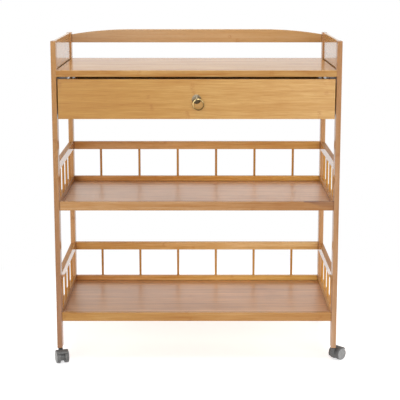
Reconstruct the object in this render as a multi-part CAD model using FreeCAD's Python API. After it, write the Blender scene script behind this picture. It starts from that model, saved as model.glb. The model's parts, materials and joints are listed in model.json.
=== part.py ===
import FreeCAD, Part
import math
import os

# A bamboo serving trolley with a drawer, two galleried trays and four casters, in millimetres.
# +Z is up, the drawer faces -Y, and the origin is on the floor under the middle of the frame.

# Frame
FRAME_WIDTH = 680.0            # over the outer faces of the legs
FRAME_DEPTH = 370.0            # over the front and back edges of the legs
FRAME_HEIGHT = 781.0           # floor to the upper ends of the legs
LEG_THICKNESS = 12.0
LEG_WIDTH = 30.0
RAIL_THICKNESS = 12.0
EDGE_ROUND = 1.2

# Heights, stacked downwards from the upper ends of the legs, and the low tray upwards from the lower ends
LEG_RISE = 68.0                # top board to the upper ends of the legs
TOP_BOARD_THICKNESS = 15.0
DRAWER_TOP_GAP = 5.4
DRAWER_FRONT_HEIGHT = 94.0
MID_CLEAR = 198.8              # mid tray's rail to the underside of the drawer
RAIL_HEIGHT = 21.5
LOW_TRAY_RISE = 67.5           # leg end to the underside of the low tray

# Arched back rail
BACK_RAIL_DROP = 5.0           # upper end of a leg to the end of the rail's arch
BACK_RAIL_END_HEIGHT = 21.0
BACK_RAIL_CROWN = 13.0         # rise of the arch over its ends
BACK_RAIL_FLAT = 346.0         # straight stretch in the middle of the arch

# Side panels
PANEL_THICKNESS = 6.0
PANEL_TONGUE = 3.0             # how far a panel stands in the groove of a leg

# Trays and their galleries
FRONT_RAIL_SETBACK = 2.0       # front edges of the legs to the face of a tray's front rail
SHELF_LIFT = 3.3               # underside of a rail to the groove of the shelf panel
SHELF_THICKNESS = 4.0
SHELF_TONGUE = 4.0
UPPER_RAIL_HEIGHT = 20.7
SPINDLE_DIAMETER = 6.0
SPINDLE_FREE = 72.4            # length that shows between two rails
SPINDLE_SINK = 8.0             # length that stands in each rail
BACK_SPINDLES = 6
BACK_SPINDLE_MARGIN = 72.0     # leg to the nearest back spindle
SIDE_SPINDLES = 4
SIDE_SPINDLE_MARGIN = 48.5     # leg to the nearest side spindle

# Fasteners of the frame
BOLT_DIAMETER = 5.0
BOLT_HEAD_DIAMETER = 8.0
BOLT_HEAD_THICKNESS = 3.0
BOLT_REACH = 33.0              # length in the rail or board behind the leg
DOWEL_DIAMETER = 6.0
DOWEL_LENGTH = 20.0
SCREW_DIAMETER = 3.5
SCREW_HEAD_DIAMETER = 7.0
SCREW_HEAD_HEIGHT = 2.2
SCREW_BITE = 9.0               # length in the second piece
END_SCREW_BITE = 24.0          # length in the end of a piece

# Drawer
DRAWER_FRONT_THICKNESS = 12.0
DRAWER_FRONT_GAP = 2.5         # drawer front to a leg
DRAWER_SIDE_GAP = 5.0          # drawer side to a leg
DRAWER_WALL = 12.0
DRAWER_BOX_LIFT = 4.0          # underside of the front to the underside of the box
DRAWER_SIDE_HEIGHT = 70.0
DRAWER_REAR_GAP = 35.0         # drawer back to the back edge of the frame
DRAWER_BOTTOM_THICKNESS = 4.0
DRAWER_BOTTOM_LIFT = 8.0
DRAWER_JOINT_DEPTH = 5.0       # grooves that hold the bottom and the ends of the sides
DRAWER_BOTTOM_SCREWS = 3
DRAWER_BOTTOM_SCREW_MARGIN = 60.0
SIDE_SCREW_CLEAR = 9.0         # runner groove to the screw above it
RUNNER_HEIGHT = 12.0
RUNNER_BITE = 4.5              # how far a runner stands in the drawer side
RUNNER_SCREW_EDGE = 5.0        # front end of a runner to its first screw

# Ring pull
ROSETTE_DIAMETER = 22.0
ROSETTE_RIM = 1.6
ROSETTE_CROWN = 5.0
EYE_REACH = 8.0                # drawer front to the centre of the eye
EYE_BORE = 5.0
EYE_WALL = 1.8
EYE_THICKNESS = 3.0
RING_DIAMETER = 28.0
RING_WIRE = 3.0
RING_LEAN = 20.0               # degrees that the ring hangs askew in its eye
PULL_SCREW_DIAMETER = 4.0
PULL_SCREW_HEAD_DIAMETER = 7.5
PULL_SCREW_HEAD_HEIGHT = 2.5
PULL_SCREW_BITE = 3.2

# Casters
WHEEL_DIAMETER = 30.0
WHEEL_THICKNESS = 10.4
WHEEL_OUTER_ROUND = 2.6
WHEEL_INNER_ROUND = 0.6
WHEEL_GAP = 0.6                # wheel to the web between the wheels
HUBCAP_DIAMETER = 20.0
HUBCAP_GROOVE = 0.8
CASTER_TRAIL = 18.0            # swivel axis to the axle
WEB_THICKNESS = 9.0
WEB_HUB_DIAMETER = 20.0
HOOD_GAP = 0.9                 # wheel to the hood above it
HOOD_WALL = 1.6
HOOD_INSET = 1.0               # outer face of a wheel to the edge of the hood
HOOD_ROUND = 1.0
HOOD_REAR_ANGLE = 42.0         # where the hood ends behind the axle, in degrees above level
HOOD_FRONT_ANGLE = 202.0       # where the hood ends ahead of the axle
AXLE_DIAMETER = 4.0
AXLE_SINK = 6.5                # length that stands in each wheel
BOSS_DIAMETER = 11.0
BOSS_ROUND = 3.0
STEM_DIAMETER = 5.0
STEM_SINK = 12.0               # length that stands in the housing
STEM_THREAD = 16.0             # length that stands in the leg
COLLAR_DIAMETER = 10.0
COLLAR_HEIGHT = 4.7
SOCKET_DIAMETER = 8.0
SOCKET_LENGTH = 18.0
CASTER_TURN = {                # degrees from +X to the trailing wheels
    ("front", "left"): -72.0,
    ("front", "right"): 42.0,
    ("back", "left"): 138.0,
    ("back", "right"): 108.0,
}

# Clearances
GLUE_GAP = 0.1                 # around dowels, spindles, bolts and tongues
END_GAP = 0.5                  # beyond the end of a pin, tongue or screw
RUN_GAP = 0.4                  # drawer to its runners
STOP_GAP = 0.3                 # closed drawer front to the ends of the runners
SWIVEL_GAP = 0.3               # housing to the collar above it
LEG_CLEAR = 3.5                # crest of a hood to the leg that it swivels under
SHAFT_GAP = 0.05               # around the axle and the stem

# Tolerance for picking edges
TINY = 1e-6

SIDES = {"left": -1, "right": 1}
ENDS = {"front": -1, "back": 1}

# Places that follow from the sizes
wheel_radius = WHEEL_DIAMETER / 2
hood_radius = wheel_radius + HOOD_GAP + HOOD_WALL
leg_bottom = wheel_radius + hood_radius + LEG_CLEAR
housing_top = leg_bottom - COLLAR_HEIGHT - SWIVEL_GAP
leg_top = FRAME_HEIGHT
board_top = leg_top - LEG_RISE
board_z = board_top - TOP_BOARD_THICKNESS
drawer_z = board_z - DRAWER_TOP_GAP - DRAWER_FRONT_HEIGHT
mid_z = drawer_z - MID_CLEAR - RAIL_HEIGHT
low_z = leg_bottom + LOW_TRAY_RISE
back_rail_z = leg_top - BACK_RAIL_DROP - BACK_RAIL_END_HEIGHT
TRAYS = {"mid": mid_z, "low": low_z}

leg_outer = FRAME_WIDTH / 2
leg_inner = leg_outer - LEG_THICKNESS
leg_x = leg_outer - LEG_THICKNESS / 2
back_y = FRAME_DEPTH / 2
front_y = -back_y
leg_face = back_y - LEG_WIDTH
leg_y = back_y - LEG_WIDTH / 2
rail_face = leg_y - RAIL_THICKNESS / 2
front_rail_y = front_y + FRONT_RAIL_SETBACK + RAIL_THICKNESS / 2
front_rail_face = front_rail_y + RAIL_THICKNESS / 2

shelf_groove_top = SHELF_LIFT + SHELF_THICKNESS + GLUE_GAP
lower_fastener = (shelf_groove_top + RAIL_HEIGHT) / 2
upper_rail = RAIL_HEIGHT + SPINDLE_FREE
upper_fastener = upper_rail + UPPER_RAIL_HEIGHT / 2

drawer_outer = leg_inner - DRAWER_SIDE_GAP
drawer_inner = drawer_outer - DRAWER_WALL
drawer_face = front_y + DRAWER_FRONT_THICKNESS
drawer_end = back_y - DRAWER_REAR_GAP
drawer_back_y = drawer_end - DRAWER_WALL / 2
box_z = drawer_z + DRAWER_BOX_LIFT
box_top = box_z + DRAWER_SIDE_HEIGHT
bottom_z = box_z + DRAWER_BOTTOM_LIFT
bottom_top = bottom_z + DRAWER_BOTTOM_THICKNESS
runner_z = box_z + DRAWER_SIDE_HEIGHT / 2
runner_inner = drawer_outer - RUNNER_BITE
runner_front = drawer_face + STOP_GAP
side_screw_z = runner_z + RUNNER_HEIGHT / 2 + SIDE_SCREW_CLEAR
pull_z = drawer_z + DRAWER_FRONT_HEIGHT / 2
eye_y = front_y - EYE_REACH

web_half = WEB_THICKNESS / 2
wheel_inner = web_half + WHEEL_GAP
wheel_outer = wheel_inner + WHEEL_THICKNESS

Vec = FreeCAD.Vector
X_AXIS = Vec(1, 0, 0)
Y_AXIS = Vec(0, 1, 0)
Z_AXIS = Vec(0, 0, 1)
ORIGIN = Vec(0, 0, 0)


# Basic solids

def box(x, y, z):
    """A box from its low and high bounds along each axis."""
    return Part.makeBox(x[1] - x[0], y[1] - y[0], z[1] - z[0], Vec(x[0], y[0], z[0]))


def rod(start, axis, length, radius):
    return Part.makeCylinder(radius, length, start, axis)


def around(centre, width):
    """Bounds of a width centred on a place."""
    return (centre - width / 2, centre + width / 2)


def sided(sign, low, high):
    """Bounds on the positive side, or their mirror image on the negative side."""
    return (low, high) if sign > 0 else (-high, -low)


def rounded(shape, axis, radius=EDGE_ROUND):
    """The shape with its edges along one axis rounded."""
    edges = [e for e in shape.Edges if e.tangentAt(e.FirstParameter).cross(axis).Length < TINY]
    return shape.makeFillet(radius, edges)


def spaced(count, half):
    """Evenly spaced places from -half to +half."""
    return [half * (2 * i / (count - 1) - 1) for i in range(count)]


def screw(head, axis, length, gap=0.0):
    """A countersunk screw whose flat head lies at a point, pointing along an axis."""
    radius = SCREW_DIAMETER / 2 + gap
    cone = Part.makeCone(SCREW_HEAD_DIAMETER / 2 + gap, radius, SCREW_HEAD_HEIGHT, head, axis)
    return cone.fuse(rod(head, axis, length, radius)).removeSplitter()


def screw_hole(head, axis, length):
    """The hole of a countersunk screw, wider by the glue gap and deeper by the end gap."""
    return screw(head, axis, length + END_GAP, GLUE_GAP)


# Bolts and dowels of the frame

def lower_rail_y(end):
    """Depth of the middle of a tray's lower rail at the front or the back."""
    return leg_y if end > 0 else front_rail_y


def bolt_places(end):
    """Depth and height of each connector bolt in a front or back leg."""
    places = [(end * leg_y, board_z + TOP_BOARD_THICKNESS / 2)]
    places += [(lower_rail_y(end), z + lower_fastener) for z in TRAYS.values()]
    if end > 0:
        places += [(leg_y, back_rail_z + BACK_RAIL_END_HEIGHT / 2)]
        places += [(leg_y, z + upper_fastener) for z in TRAYS.values()]
    return places


def frame_bolt(side, y, z):
    inward = X_AXIS * -side
    head = rod(Vec(side * leg_outer, y, z), inward, BOLT_HEAD_THICKNESS, BOLT_HEAD_DIAMETER / 2)
    shank = rod(Vec(side * leg_outer, y, z), inward, LEG_THICKNESS + BOLT_REACH, BOLT_DIAMETER / 2)
    return head.fuse(shank).removeSplitter()


def bolt_leg_hole(side, y, z):
    inward = X_AXIS * -side
    start = Vec(side * leg_outer, y, z)
    sink = rod(start, inward, BOLT_HEAD_THICKNESS, BOLT_HEAD_DIAMETER / 2 + GLUE_GAP)
    return sink.fuse(rod(start, inward, LEG_THICKNESS, BOLT_DIAMETER / 2 + GLUE_GAP))


def bolt_end_holes(y, z):
    """Holes in both ends of a piece that spans from leg to leg."""
    return [rod(Vec(s * leg_inner, y, z), X_AXIS * -s, BOLT_REACH + END_GAP, BOLT_DIAMETER / 2 + GLUE_GAP)
            for s in SIDES.values()]


def dowel_heights():
    return [z + rise for z in TRAYS.values() for rise in (lower_fastener, upper_fastener)]


def dowel(side, end, z):
    start = Vec(side * leg_x, end * leg_face - DOWEL_LENGTH / 2, z)
    return rod(start, Y_AXIS, DOWEL_LENGTH, DOWEL_DIAMETER / 2)


def dowel_hole(side, end, z):
    """One hole that runs through the joint of a side rail and a leg."""
    length = DOWEL_LENGTH + 2 * END_GAP
    start = Vec(side * leg_x, end * leg_face - length / 2, z)
    return rod(start, Y_AXIS, length, DOWEL_DIAMETER / 2 + GLUE_GAP)


# Frame pieces

def leg(side, end):
    x = sided(side, leg_inner, leg_outer)
    y = sided(end, leg_face, back_y)
    blank = box(x, y, (leg_bottom, leg_top))
    edges = [e for e in blank.Edges if max(v.Z for v in e.Vertexes) > leg_bottom]
    blank = blank.makeFillet(EDGE_ROUND, edges)
    groove = box(around(side * leg_x, PANEL_THICKNESS + 2 * GLUE_GAP),
                 sided(end, leg_face, leg_face + PANEL_TONGUE + END_GAP),
                 (drawer_z, leg_top))
    socket = rod(Vec(side * leg_x, end * leg_y, leg_bottom), Z_AXIS,
                 SOCKET_LENGTH, SOCKET_DIAMETER / 2 + GLUE_GAP)
    cuts = [groove, socket, runner_screw_hole(side, end)]
    cuts += [bolt_leg_hole(side, y, z) for y, z in bolt_places(end)]
    cuts += [dowel_hole(side, end, z) for z in dowel_heights()]
    return blank.cut(cuts)


def side_panel(side):
    half = leg_face + PANEL_TONGUE
    panel = box(around(side * leg_x, PANEL_THICKNESS), (-half, half), (drawer_z, leg_top))
    return rounded(panel, Y_AXIS)


def top_board():
    board = box((-leg_inner, leg_inner), (front_y, back_y), (board_z, board_top))
    board = rounded(board, X_AXIS)
    z = board_z + TOP_BOARD_THICKNESS / 2
    return board.cut(bolt_end_holes(-leg_y, z) + bolt_end_holes(leg_y, z))


def back_rail():
    """The rail with a flat crown that falls in two tangent arcs to its ends."""
    end_top = back_rail_z + BACK_RAIL_END_HEIGHT
    crown = end_top + BACK_RAIL_CROWN
    flat = BACK_RAIL_FLAT / 2
    fall = leg_inner - flat
    radius = (fall ** 2 + BACK_RAIL_CROWN ** 2) / (2 * BACK_RAIL_CROWN)
    half_turn = math.asin(fall / radius) / 2
    bend = Vec(flat + radius * math.sin(half_turn), 0, crown - radius * (1 - math.cos(half_turn)))

    def at(x, z):
        return Vec(x, rail_face, z)

    outline = Part.Wire([
        Part.LineSegment(at(-leg_inner, back_rail_z), at(leg_inner, back_rail_z)).toShape(),
        Part.LineSegment(at(leg_inner, back_rail_z), at(leg_inner, end_top)).toShape(),
        Part.Arc(at(leg_inner, end_top), at(bend.x, bend.z), at(flat, crown)).toShape(),
        Part.LineSegment(at(flat, crown), at(-flat, crown)).toShape(),
        Part.Arc(at(-flat, crown), at(-bend.x, bend.z), at(-leg_inner, end_top)).toShape(),
        Part.LineSegment(at(-leg_inner, end_top), at(-leg_inner, back_rail_z)).toShape(),
    ])
    rail = Part.Face(outline).extrude(Y_AXIS * RAIL_THICKNESS)
    long_edges = [e for e in rail.Edges if e.BoundBox.YLength < TINY < e.BoundBox.XLength]
    rail = rail.makeFillet(EDGE_ROUND, long_edges)
    return rail.cut(bolt_end_holes(leg_y, back_rail_z + BACK_RAIL_END_HEIGHT / 2))


# Trays

def back_spindle_places():
    return [(x, leg_y) for x in spaced(BACK_SPINDLES, leg_inner - BACK_SPINDLE_MARGIN)]


def side_spindle_places(side):
    return [(side * leg_x, y) for y in spaced(SIDE_SPINDLES, leg_face - SIDE_SPINDLE_MARGIN)]


def spindles(places, tray_z):
    start = tray_z + RAIL_HEIGHT - SPINDLE_SINK
    length = SPINDLE_FREE + 2 * SPINDLE_SINK
    return Part.Compound([rod(Vec(x, y, start), Z_AXIS, length, SPINDLE_DIAMETER / 2) for x, y in places])


def spindle_holes(places, z, depth):
    return [rod(Vec(x, y, z), Z_AXIS, depth, SPINDLE_DIAMETER / 2 + GLUE_GAP) for x, y in places]


def lower_holes(places, tray_z):
    return spindle_holes(places, tray_z + RAIL_HEIGHT - SPINDLE_SINK, SPINDLE_SINK)


def upper_holes(places, tray_z):
    return spindle_holes(places, tray_z + upper_rail, SPINDLE_SINK + END_GAP)


def shelf_groove_heights(tray_z):
    return (tray_z + SHELF_LIFT, tray_z + shelf_groove_top)


def cross_rail(end, tray_z):
    """A lower rail from leg to leg at the front or the back of a tray, grooved for the shelf panel."""
    span = (-leg_inner, leg_inner)
    y = lower_rail_y(end)
    face = y - end * RAIL_THICKNESS / 2
    rail = box(span, around(y, RAIL_THICKNESS), (tray_z, tray_z + RAIL_HEIGHT))
    groove = box(span, sorted((face, face + end * (SHELF_TONGUE + END_GAP))), shelf_groove_heights(tray_z))
    return rounded(rail, X_AXIS).cut([groove] + bolt_end_holes(y, tray_z + lower_fastener))


def back_lower_rail(tray_z):
    return cross_rail(ENDS["back"], tray_z).cut(lower_holes(back_spindle_places(), tray_z))


def back_upper_rail(tray_z):
    z = tray_z + upper_rail
    rail = box((-leg_inner, leg_inner), around(leg_y, RAIL_THICKNESS), (z, z + UPPER_RAIL_HEIGHT))
    cuts = bolt_end_holes(leg_y, tray_z + upper_fastener)
    return rounded(rail, X_AXIS).cut(cuts + upper_holes(back_spindle_places(), tray_z))


def side_lower_rail(side, tray_z):
    x = sided(side, leg_inner, leg_outer)
    rail = rounded(box(x, (-leg_face, leg_face), (tray_z, tray_z + RAIL_HEIGHT)), Y_AXIS)
    groove = box(sided(side, leg_inner, leg_inner + SHELF_TONGUE + END_GAP), (-leg_face, leg_face),
                 shelf_groove_heights(tray_z))
    dowels = [dowel_hole(side, end, tray_z + lower_fastener) for end in ENDS.values()]
    return rail.cut([groove] + dowels + lower_holes(side_spindle_places(side), tray_z))


def side_upper_rail(side, tray_z):
    z = tray_z + upper_rail
    rail = box(sided(side, leg_inner, leg_outer), (-leg_face, leg_face), (z, z + UPPER_RAIL_HEIGHT))
    dowels = [dowel_hole(side, end, tray_z + upper_fastener) for end in ENDS.values()]
    return rounded(rail, Y_AXIS).cut(dowels + upper_holes(side_spindle_places(side), tray_z))


def shelf_panel(tray_z):
    """A thin panel whose edges stand in the grooves of the four rails and clear the legs."""
    z = (tray_z + SHELF_LIFT, tray_z + SHELF_LIFT + SHELF_THICKNESS)
    inner = leg_inner - GLUE_GAP
    wide = leg_inner + SHELF_TONGUE
    between = leg_face - GLUE_GAP
    long = box((-inner, inner), (front_rail_face - SHELF_TONGUE, rail_face + SHELF_TONGUE), z)
    cross = box((-wide, wide), (-between, between), z)
    return long.fuse(cross).removeSplitter()


# Drawer

def runner_screw_y(end):
    return leg_y if end > 0 else runner_front + RUNNER_SCREW_EDGE


def runner_screw(side, end):
    head = Vec(side * runner_inner, runner_screw_y(end), runner_z)
    return screw(head, X_AXIS * side, leg_inner - runner_inner + SCREW_BITE)


def runner_screw_hole(side, end):
    head = Vec(side * runner_inner, runner_screw_y(end), runner_z)
    return screw_hole(head, X_AXIS * side, leg_inner - runner_inner + SCREW_BITE)


def drawer_runner(side):
    strip = box(sided(side, runner_inner, leg_inner), (runner_front, back_y), around(runner_z, RUNNER_HEIGHT))
    return strip.cut([runner_screw_hole(side, end) for end in ENDS.values()])


def drawer_front():
    half = leg_inner - DRAWER_FRONT_GAP
    board = box((-half, half), (front_y, drawer_face), (drawer_z, drawer_z + DRAWER_FRONT_HEIGHT))
    edges = [e for e in board.Edges if max(v.Y for v in e.Vertexes) < drawer_face]
    board = board.makeFillet(EDGE_ROUND, edges)
    groove_y = (drawer_face - DRAWER_JOINT_DEPTH, drawer_face)
    bottom = box((-drawer_inner, drawer_inner), groove_y, (bottom_z, bottom_top + GLUE_GAP))
    ends = [box(sided(s, drawer_inner - GLUE_GAP, drawer_outer + GLUE_GAP), groove_y,
                (box_z, box_top + GLUE_GAP)) for s in SIDES.values()]
    bore = rod(Vec(0, front_y, pull_z), Y_AXIS, DRAWER_FRONT_THICKNESS, PULL_SCREW_DIAMETER / 2 + GLUE_GAP)
    return board.cut([bottom, bore] + ends)


def drawer_side_screw(side):
    head = Vec(side * drawer_outer, drawer_back_y, side_screw_z)
    return screw(head, X_AXIS * -side, DRAWER_WALL + END_SCREW_BITE)


def drawer_side_screw_hole(side):
    head = Vec(side * drawer_outer, drawer_back_y, side_screw_z)
    return screw_hole(head, X_AXIS * -side, DRAWER_WALL + END_SCREW_BITE)


def bottom_screw_heads():
    half = drawer_inner - DRAWER_BOTTOM_SCREW_MARGIN
    return [Vec(x, drawer_back_y, bottom_z) for x in spaced(DRAWER_BOTTOM_SCREWS, half)]


def bottom_screw_holes():
    length = DRAWER_BOTTOM_THICKNESS + SCREW_BITE
    return [screw_hole(head, Z_AXIS, length) for head in bottom_screw_heads()]


def drawer_screws():
    length = DRAWER_BOTTOM_THICKNESS + SCREW_BITE
    bottom = [screw(head, Z_AXIS, length) for head in bottom_screw_heads()]
    return Part.Compound(bottom + [drawer_side_screw(s) for s in SIDES.values()])


def drawer_side(side):
    x = sided(side, drawer_inner, drawer_outer)
    wall = box(x, (drawer_face - DRAWER_JOINT_DEPTH, drawer_end), (box_z, box_top))
    bottom = box(sided(side, drawer_inner, drawer_inner + DRAWER_JOINT_DEPTH),
                 (drawer_face - DRAWER_JOINT_DEPTH, drawer_end), (bottom_z, bottom_top + GLUE_GAP))
    runner = box(sided(side, runner_inner - RUN_GAP, drawer_outer), (drawer_face, drawer_end),
                 around(runner_z, RUNNER_HEIGHT + 2 * RUN_GAP))
    return wall.cut([bottom, runner, drawer_side_screw_hole(side)])


def drawer_back():
    wall = box((-drawer_inner, drawer_inner), around(drawer_back_y, DRAWER_WALL), (bottom_top, box_top))
    return wall.cut([drawer_side_screw_hole(s) for s in SIDES.values()] + bottom_screw_holes())


def drawer_bottom():
    half = drawer_inner + DRAWER_JOINT_DEPTH - GLUE_GAP
    panel = box((-half, half), (drawer_face - DRAWER_JOINT_DEPTH + GLUE_GAP, drawer_end),
                (bottom_z, bottom_top))
    return panel.cut(bottom_screw_holes())


# Ring pull

def pull_rosette():
    """A domed disc with an eye that stands out of its middle."""
    radius = ROSETTE_DIAMETER / 2

    def at(r, out):
        return Vec(r, front_y - out, pull_z)

    rise = ROSETTE_CROWN - ROSETTE_RIM
    dome_radius = (radius ** 2 + rise ** 2) / (2 * rise)
    half_turn = math.asin(radius / dome_radius) / 2
    shoulder = at(dome_radius * math.sin(half_turn),
                  ROSETTE_CROWN - dome_radius * (1 - math.cos(half_turn)))
    outline = Part.Wire([
        Part.LineSegment(at(0, 0), at(radius, 0)).toShape(),
        Part.LineSegment(at(radius, 0), at(radius, ROSETTE_RIM)).toShape(),
        Part.Arc(at(radius, ROSETTE_RIM), shoulder, at(0, ROSETTE_CROWN)).toShape(),
        Part.LineSegment(at(0, ROSETTE_CROWN), at(0, 0)).toShape(),
    ])
    disc = Part.Face(outline).revolve(at(0, 0), Y_AXIS, 360)
    eye_radius = EYE_BORE / 2 + EYE_WALL
    x = around(0, EYE_THICKNESS)
    lug = rod(Vec(x[0], eye_y, pull_z), X_AXIS, EYE_THICKNESS, eye_radius)
    neck = box(x, (eye_y, front_y - ROSETTE_RIM), around(pull_z, 2 * eye_radius))
    bore = rod(Vec(x[0], eye_y, pull_z), X_AXIS, EYE_THICKNESS, EYE_BORE / 2)
    thread = rod(Vec(0, front_y, pull_z), Y_AXIS * -1, PULL_SCREW_BITE + GLUE_GAP,
                 PULL_SCREW_DIAMETER / 2 + GLUE_GAP)
    return disc.fuse([lug, neck]).removeSplitter().cut([bore, thread])


def pull_screw():
    inward = Y_AXIS * -1
    head = rod(Vec(0, drawer_face + PULL_SCREW_HEAD_HEIGHT, pull_z), inward, PULL_SCREW_HEAD_HEIGHT,
               PULL_SCREW_HEAD_DIAMETER / 2)
    shank = rod(Vec(0, drawer_face, pull_z), inward, DRAWER_FRONT_THICKNESS + PULL_SCREW_BITE,
                PULL_SCREW_DIAMETER / 2)
    return head.fuse(shank).removeSplitter()


def pull_ring():
    """A ring whose wire passes through the eye, hanging a little askew."""
    middle = (RING_DIAMETER - RING_WIRE) / 2
    ring = Part.makeTorus(middle, RING_WIRE / 2, Vec(0, eye_y, pull_z - middle), Y_AXIS)
    ring.rotate(Vec(0, eye_y, pull_z), Y_AXIS, -RING_LEAN)
    return ring


# Casters, made with the swivel axis on Z, the wheels trailing to +X and the axle along Y

def edges_across_y(shape, y):
    """The edges that lie in one plane across the axle."""
    return [e for e in shape.Edges if max(abs(e.BoundBox.YMin - y), abs(e.BoundBox.YMax - y)) < TINY]


def wheel(sign):
    axis = Y_AXIS * sign
    centre = Vec(CASTER_TRAIL, sign * wheel_inner, wheel_radius)
    disc = rod(centre, axis, WHEEL_THICKNESS, wheel_radius)
    for place, radius in ((wheel_inner, WHEEL_INNER_ROUND), (wheel_outer, WHEEL_OUTER_ROUND)):
        disc = disc.makeFillet(radius, edges_across_y(disc, sign * place))
    face = Vec(CASTER_TRAIL, sign * wheel_outer, wheel_radius)
    ring = rod(face, axis * -1, HUBCAP_GROOVE, HUBCAP_DIAMETER / 2 + HUBCAP_GROOVE)
    ring = ring.cut(rod(face, axis * -1, HUBCAP_GROOVE, HUBCAP_DIAMETER / 2))
    bore = rod(centre, axis, AXLE_SINK + END_GAP, AXLE_DIAMETER / 2 + SHAFT_GAP)
    return disc.cut([ring, bore])


def axle():
    half = wheel_inner + AXLE_SINK
    return rod(Vec(CASTER_TRAIL, -half, wheel_radius), Y_AXIS, 2 * half, AXLE_DIAMETER / 2)


def hood_sector(half_width):
    """A slice of a disc around the axle, from behind it over the top to the front."""
    def at(angle, radius):
        turn = math.radians(angle)
        return Vec(CASTER_TRAIL + radius * math.cos(turn), -half_width,
                   wheel_radius + radius * math.sin(turn))

    middle = (HOOD_REAR_ANGLE + HOOD_FRONT_ANGLE) / 2
    start = at(HOOD_REAR_ANGLE, hood_radius)
    finish = at(HOOD_FRONT_ANGLE, hood_radius)
    outline = Part.Wire([
        Part.LineSegment(at(0, 0), start).toShape(),
        Part.Arc(start, at(middle, hood_radius), finish).toShape(),
        Part.LineSegment(finish, at(0, 0)).toShape(),
    ])
    sector = Part.Face(outline).extrude(Y_AXIS * (2 * half_width))
    return sector.makeFillet(HOOD_ROUND, [e for e in sector.Edges if isinstance(e.Curve, Part.Circle)])


def housing():
    """The hood over both wheels, the web between them and the boss around the stem."""
    axis_point = Vec(CASTER_TRAIL, 0, wheel_radius)
    boss = rod(Vec(0, 0, wheel_radius), Z_AXIS, housing_top - wheel_radius, BOSS_DIAMETER / 2)
    boss = boss.makeFillet(BOSS_ROUND, [e for e in boss.Edges if e.BoundBox.ZMax < wheel_radius + TINY])
    hood = hood_sector(wheel_outer - HOOD_INSET).fuse(boss)
    wells = [rod(axis_point + Y_AXIS * (s * web_half), Y_AXIS * s, WHEEL_THICKNESS + HOOD_GAP + WHEEL_GAP,
                 wheel_radius + HOOD_GAP) for s in SIDES.values()]
    hub = rod(axis_point - Y_AXIS * web_half, Y_AXIS, WEB_THICKNESS, WEB_HUB_DIAMETER / 2)
    body = hood.cut(wells).fuse(hub).removeSplitter()
    stem = rod(Vec(0, 0, housing_top - STEM_SINK - END_GAP), Z_AXIS, STEM_SINK + END_GAP,
               STEM_DIAMETER / 2 + SHAFT_GAP)
    bore = rod(axis_point - Y_AXIS * web_half, Y_AXIS, WEB_THICKNESS, AXLE_DIAMETER / 2 + SHAFT_GAP)
    return body.cut([stem, bore])


def stem():
    """The swivel pin: a thread in the leg, a collar under it and a pin in the housing."""
    pin = rod(Vec(0, 0, housing_top - STEM_SINK), Z_AXIS,
              leg_bottom + STEM_THREAD - housing_top + STEM_SINK, STEM_DIAMETER / 2)
    collar = rod(Vec(0, 0, leg_bottom - COLLAR_HEIGHT), Z_AXIS, COLLAR_HEIGHT, COLLAR_DIAMETER / 2)
    return pin.fuse(collar).removeSplitter()


def socket():
    bush = rod(Vec(0, 0, leg_bottom), Z_AXIS, SOCKET_LENGTH, SOCKET_DIAMETER / 2)
    return bush.cut(rod(Vec(0, 0, leg_bottom), Z_AXIS, SOCKET_LENGTH, STEM_DIAMETER / 2 + GLUE_GAP))


def under_leg(shape, end, side):
    """A caster piece turned as it stands and moved under its leg."""
    shape.rotate(ORIGIN, Z_AXIS, CASTER_TURN[end, side])
    shape.translate(Vec(SIDES[side] * leg_x, ENDS[end] * leg_y, 0))
    return shape


def build():
    """Every piece of the trolley by its name."""
    pieces = {"top_board": top_board(), "back_rail": back_rail()}
    corners = [(end, side) for end in ENDS for side in SIDES]
    for end, side in corners:
        pieces[f"leg_{end}_{side}"] = leg(SIDES[side], ENDS[end])
    for side, sign in SIDES.items():
        pieces[f"side_panel_{side}"] = side_panel(sign)
        pieces[f"drawer_runner_{side}"] = drawer_runner(sign)
        pieces[f"drawer_side_{side}"] = drawer_side(sign)
    for tray, z in TRAYS.items():
        pieces[f"{tray}_front_rail"] = cross_rail(ENDS["front"], z)
        pieces[f"{tray}_back_lower_rail"] = back_lower_rail(z)
        pieces[f"{tray}_back_upper_rail"] = back_upper_rail(z)
        pieces[f"{tray}_shelf_panel"] = shelf_panel(z)
        pieces[f"{tray}_back_spindles"] = spindles(back_spindle_places(), z)
        sides = [place for sign in SIDES.values() for place in side_spindle_places(sign)]
        pieces[f"{tray}_side_spindles"] = spindles(sides, z)
        for side, sign in SIDES.items():
            pieces[f"{tray}_side_lower_rail_{side}"] = side_lower_rail(sign, z)
            pieces[f"{tray}_side_upper_rail_{side}"] = side_upper_rail(sign, z)
    pieces["frame_bolts"] = Part.Compound([frame_bolt(side, y, z) for side in SIDES.values()
                                           for end in ENDS.values() for y, z in bolt_places(end)])
    pieces["rail_dowels"] = Part.Compound([dowel(side, end, z) for side in SIDES.values()
                                           for end in ENDS.values() for z in dowel_heights()])
    pieces["runner_screws"] = Part.Compound([runner_screw(side, end) for side in SIDES.values()
                                             for end in ENDS.values()])
    pieces["drawer_front"] = drawer_front()
    pieces["drawer_back"] = drawer_back()
    pieces["drawer_bottom"] = drawer_bottom()
    pieces["drawer_screws"] = drawer_screws()
    pieces["pull_rosette"] = pull_rosette()
    pieces["pull_screw"] = pull_screw()
    pieces["pull_ring"] = pull_ring()
    pieces["caster_stems"] = Part.Compound([under_leg(stem(), *corner) for corner in corners])
    pieces["caster_sockets"] = Part.Compound([under_leg(socket(), *corner) for corner in corners])
    for end, side in corners:
        name = f"caster_{end}_{side}"
        pieces[f"{name}_housing"] = under_leg(housing(), end, side)
        pieces[f"{name}_axle"] = under_leg(axle(), end, side)
        pieces[f"{name}_wheel_a"] = under_leg(wheel(-1), end, side)
        pieces[f"{name}_wheel_b"] = under_leg(wheel(1), end, side)
    return pieces


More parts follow.
